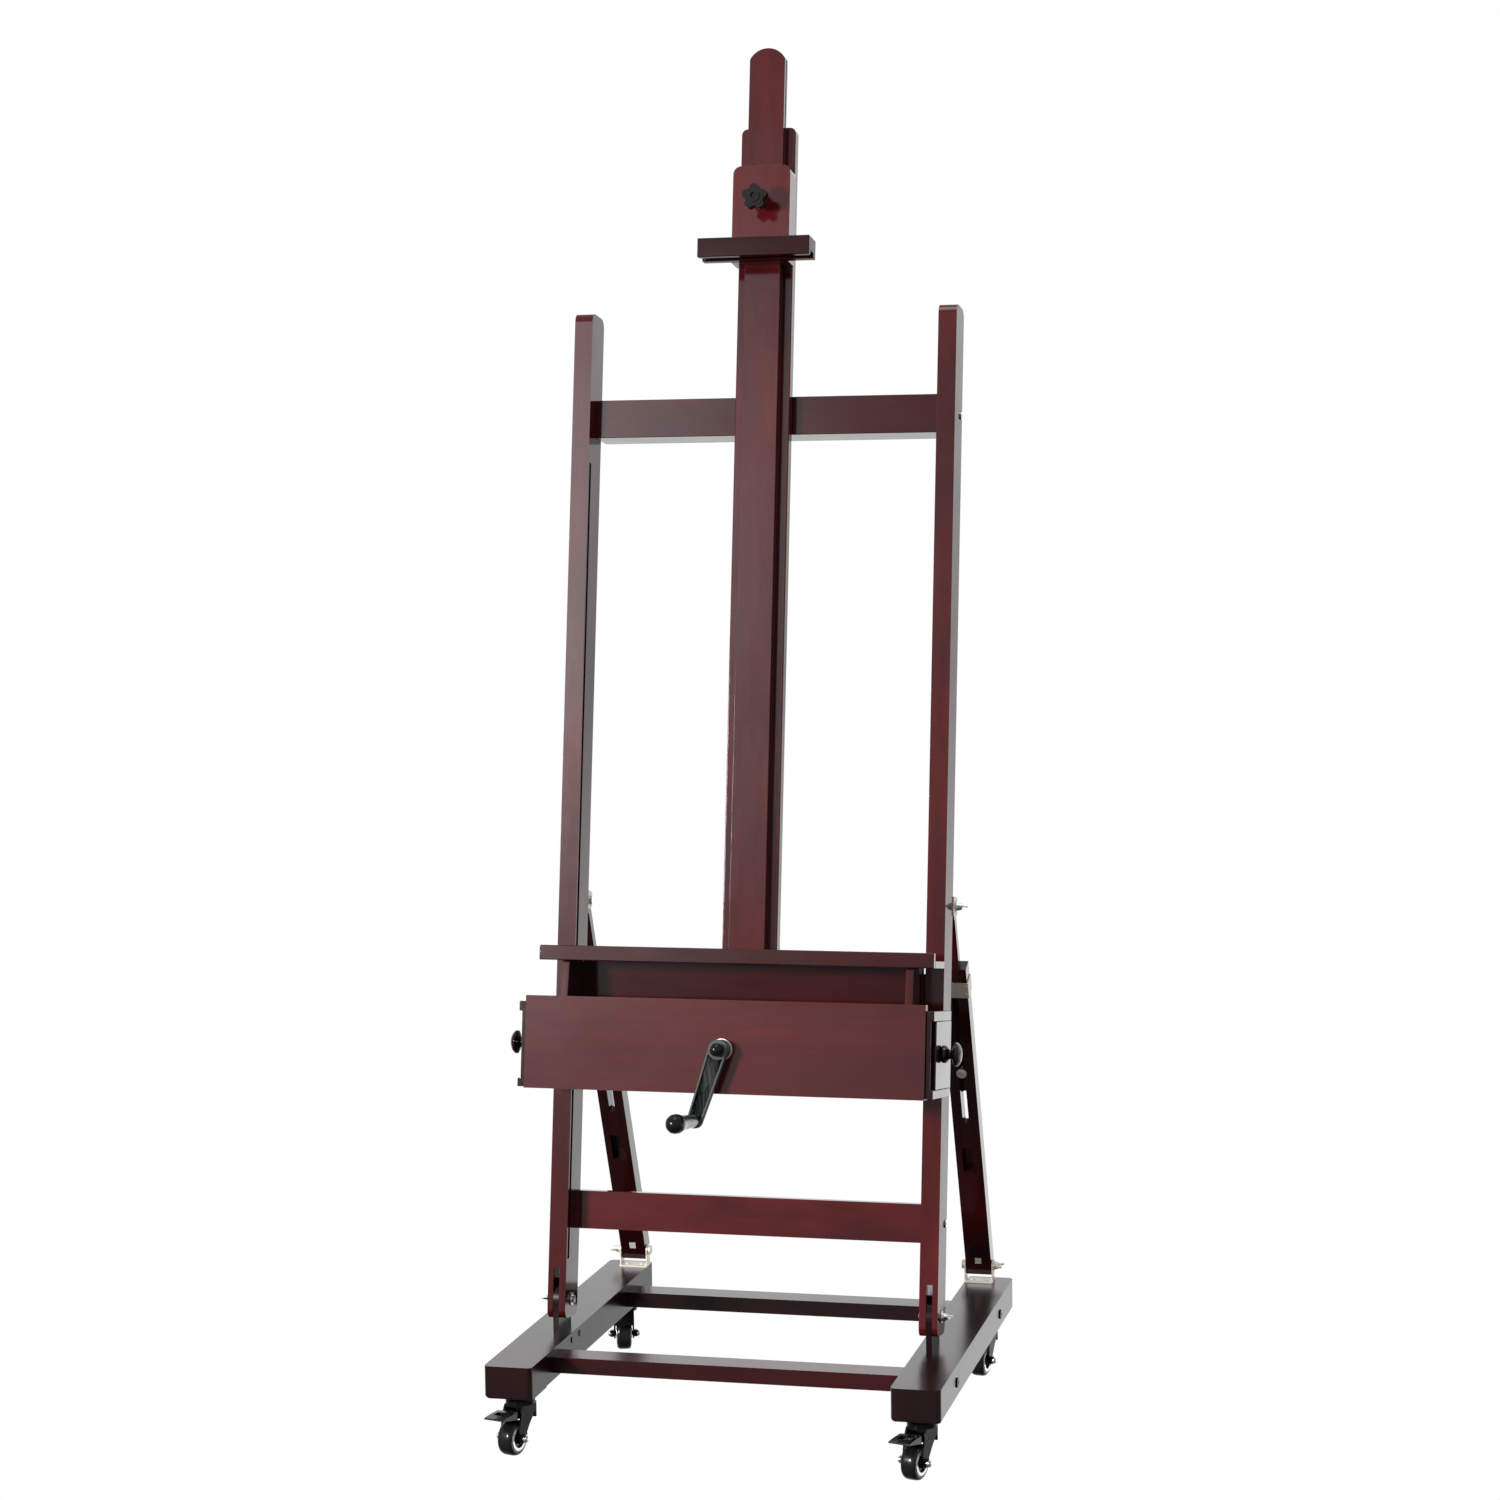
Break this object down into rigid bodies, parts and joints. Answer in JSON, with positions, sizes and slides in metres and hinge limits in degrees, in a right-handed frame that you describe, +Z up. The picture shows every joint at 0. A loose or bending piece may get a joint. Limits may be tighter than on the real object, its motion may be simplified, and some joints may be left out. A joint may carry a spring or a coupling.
{
  "type": "studio easel",
  "caption": "H frame studio easel on casters, with a crank lifted canvas shelf and drawer box, a telescoping mast with a canvas clamp, and slotted rear legs that set the lean.",
  "frame": {"origin": "floor level, midway between the two feet and midway between the front and back ends of the feet", "axes": "+X to the right of somebody facing the easel's front, +Y to the back, +Z up"},
  "size_m": [0.6582, 0.6842, 2.0054],
  "materials": {
    "mahogany": "glossy red-brown stain",
    "mahogany_dark": "satin dark brown stain",
    "steel_plate": "plain steel",
    "zinc": "zinc plated",
    "arm_paint": "satin dark grey green",
    "black_metal": "gloss black",
    "black_plastic": "gloss black"
  },
  "bodies": {
    "base": {"left_foot": "mahogany", "right_foot": "mahogany", "front_base_rail": "mahogany", "rear_base_rail": "mahogany", "hinge_tongues": "mahogany_dark", "base_screws": "black_metal", "foot_brackets": "zinc", "caster_plates": "black_metal"},
    "fl_fork": {"fl_caster_fork": "black_metal"},
    "fr_fork": {"fr_caster_fork": "black_metal"},
    "rl_fork": {"rl_caster_fork": "black_metal"},
    "rr_fork": {"rr_caster_fork": "black_metal"},
    "fl_wheel": {"fl_caster_wheel": "black_plastic"},
    "fr_wheel": {"fr_caster_wheel": "black_plastic"},
    "rl_wheel": {"rl_caster_wheel": "black_plastic"},
    "rr_wheel": {"rr_caster_wheel": "black_plastic"},
    "fl_brake": {"fl_caster_brake": "black_plastic"},
    "fr_brake": {"fr_caster_brake": "black_plastic"},
    "h_frame": {"left_upright": "mahogany", "right_upright": "mahogany", "upper_crossbar": "mahogany", "lower_crossbar": "mahogany", "crossbar_bolts": "zinc", "pivot_bolts": "zinc", "leg_top_brackets": "zinc", "leg_top_bolts": "zinc", "lift_rack": "steel_plate"},
    "left_lower_leg": {"left_leg_lower": "mahogany_dark", "left_leg_clamp": "zinc"},
    "right_lower_leg": {"right_leg_lower": "mahogany_dark", "right_leg_clamp": "zinc"},
    "left_upper_leg": {"left_leg_upper": "mahogany_dark"},
    "right_upper_leg": {"right_leg_upper": "mahogany_dark"},
    "carriage": {"front_panel": "mahogany", "case_top": "mahogany", "case_bottom": "mahogany", "carriage_back": "mahogany", "left_end_frame": "mahogany", "right_end_frame": "mahogany", "left_cheek": "mahogany", "right_cheek": "mahogany", "shelf_board": "mahogany", "shelf_lip": "mahogany", "runners": "mahogany_dark", "mast_back_board": "mahogany", "crank_bearing": "zinc"},
    "crank": {"crank_shaft": "zinc", "crank_arm": "arm_paint", "crank_cap": "black_plastic"},
    "grip": {"crank_grip": "black_plastic"},
    "left_drawer": {"left_drawer_front": "mahogany", "left_drawer_tray": "mahogany_dark", "left_drawer_knob": "mahogany"},
    "right_drawer": {"right_drawer_front": "mahogany", "right_drawer_tray": "mahogany_dark", "right_drawer_knob": "mahogany"},
    "mast_bar": {"mast_front_bar": "mahogany"},
    "clamp_holder": {"clamp_block": "mahogany", "clamp_bar": "mahogany"},
    "clamp_screw": {"clamp_knob": "black_plastic"}
  },
  "joints": [
    {"name": "fl_swivel", "type": "hinge", "parent": "base", "child": "fl_fork", "pos_m": [-0.289, -0.262, 0.07], "axis": [0, 0, 1], "continuous": true},
    {"name": "fr_swivel", "type": "hinge", "parent": "base", "child": "fr_fork", "pos_m": [0.289, -0.262, 0.07], "axis": [0, 0, 1], "continuous": true},
    {"name": "rl_swivel", "type": "hinge", "parent": "base", "child": "rl_fork", "pos_m": [-0.289, 0.262, 0.07], "axis": [0, 0, 1], "continuous": true},
    {"name": "rr_swivel", "type": "hinge", "parent": "base", "child": "rr_fork", "pos_m": [0.289, 0.262, 0.07], "axis": [0, 0, 1], "continuous": true},
    {"name": "fl_roll", "type": "hinge", "parent": "fl_fork", "child": "fl_wheel", "pos_m": [-0.29432, -0.28335, 0.025], "axis": [0.9703, -0.2419, 0], "continuous": true},
    {"name": "fl_brake_pedal", "type": "hinge", "parent": "fl_fork", "child": "fl_brake", "pos_m": [-0.29239, -0.27558, 0.0575], "axis": [0.9703, -0.2419, 0], "range_deg": [0, 12]},
    {"name": "fr_roll", "type": "hinge", "parent": "fr_fork", "child": "fr_wheel", "pos_m": [0.28294, -0.28315, 0.025], "axis": [0.9613, -0.2756, 0], "continuous": true},
    {"name": "fr_brake_pedal", "type": "hinge", "parent": "fr_fork", "child": "fr_brake", "pos_m": [0.28514, -0.27546, 0.0575], "axis": [0.9613, -0.2756, 0], "range_deg": [0, 12]},
    {"name": "rl_roll", "type": "hinge", "parent": "rl_fork", "child": "rl_wheel", "pos_m": [-0.29506, 0.28315, 0.025], "axis": [-0.9613, -0.2756, 0], "continuous": true},
    {"name": "rr_roll", "type": "hinge", "parent": "rr_fork", "child": "rr_wheel", "pos_m": [0.28594, 0.24021, 0.025], "axis": [0.9903, -0.1392, 0], "continuous": true},
    {"name": "frame_tilt", "type": "hinge", "parent": "base", "child": "h_frame", "pos_m": [0, -0.10274, 0.17952], "axis": [-1, 0, 0], "range_deg": [-5, 5]},
    {"name": "left_leg_pivot", "type": "hinge", "parent": "base", "child": "left_lower_leg", "pos_m": [-0.277, 0.2885, 0.16], "axis": [-1, 0, 0], "range_deg": [-4, 4]},
    {"name": "right_leg_pivot", "type": "hinge", "parent": "base", "child": "right_lower_leg", "pos_m": [0.277, 0.2885, 0.16], "axis": [-1, 0, 0], "range_deg": [-4, 4]},
    {"name": "left_leg_slide", "type": "slide", "parent": "left_lower_leg", "child": "left_upper_leg", "axis": [0, -0.3976, 0.9175], "range_m": [-0.032, 0.032]},
    {"name": "right_leg_slide", "type": "slide", "parent": "right_lower_leg", "child": "right_upper_leg", "axis": [0, -0.3976, 0.9175], "range_m": [-0.032, 0.032]},
    {"name": "carriage_lift", "type": "slide", "parent": "h_frame", "child": "carriage", "axis": [0, 0.1478, 0.989], "range_m": [0, 0.7]},
    {"name": "crank_turn", "type": "hinge", "parent": "carriage", "child": "crank", "pos_m": [0, -0.21698, 0.57474], "axis": [0, 0.989, -0.1478], "range_deg": [0, 3345]},
    {"name": "grip_spin", "type": "hinge", "parent": "crank", "child": "grip", "pos_m": [-0.03127, -0.23164, 0.47665], "axis": [0, 0.989, -0.1478], "continuous": true},
    {"name": "left_drawer_slide", "type": "slide", "parent": "carriage", "child": "left_drawer", "axis": [-1, 0, 0], "range_m": [0, 0.2]},
    {"name": "right_drawer_slide", "type": "slide", "parent": "carriage", "child": "right_drawer", "axis": [1, 0, 0], "range_m": [0, 0.2]},
    {"name": "mast_bar_slide", "type": "slide", "parent": "carriage", "child": "mast_bar", "axis": [0, 0.1478, 0.989], "range_m": [0, 0.45]},
    {"name": "clamp_slide", "type": "slide", "parent": "mast_bar", "child": "clamp_holder", "axis": [0, 0.1478, 0.989], "range_m": [-0.35, 0.14]},
    {"name": "clamp_screw_turn", "type": "hinge", "parent": "clamp_holder", "child": "clamp_screw", "pos_m": [0, 0.07481, 1.77348], "axis": [0, 0.989, -0.1478], "continuous": true}
  ],
  "couplings": [
    {"joint": "left_leg_pivot", "follows": "frame_tilt", "ratio": 0.7305},
    {"joint": "right_leg_pivot", "follows": "frame_tilt", "ratio": 0.7305},
    {"joint": "left_leg_slide", "follows": "frame_tilt", "m_per_rad": -0.3511},
    {"joint": "right_leg_slide", "follows": "frame_tilt", "m_per_rad": -0.3511},
    {"joint": "crank_turn", "follows": "carriage_lift", "rad_per_m": 83.333}
  ]
}
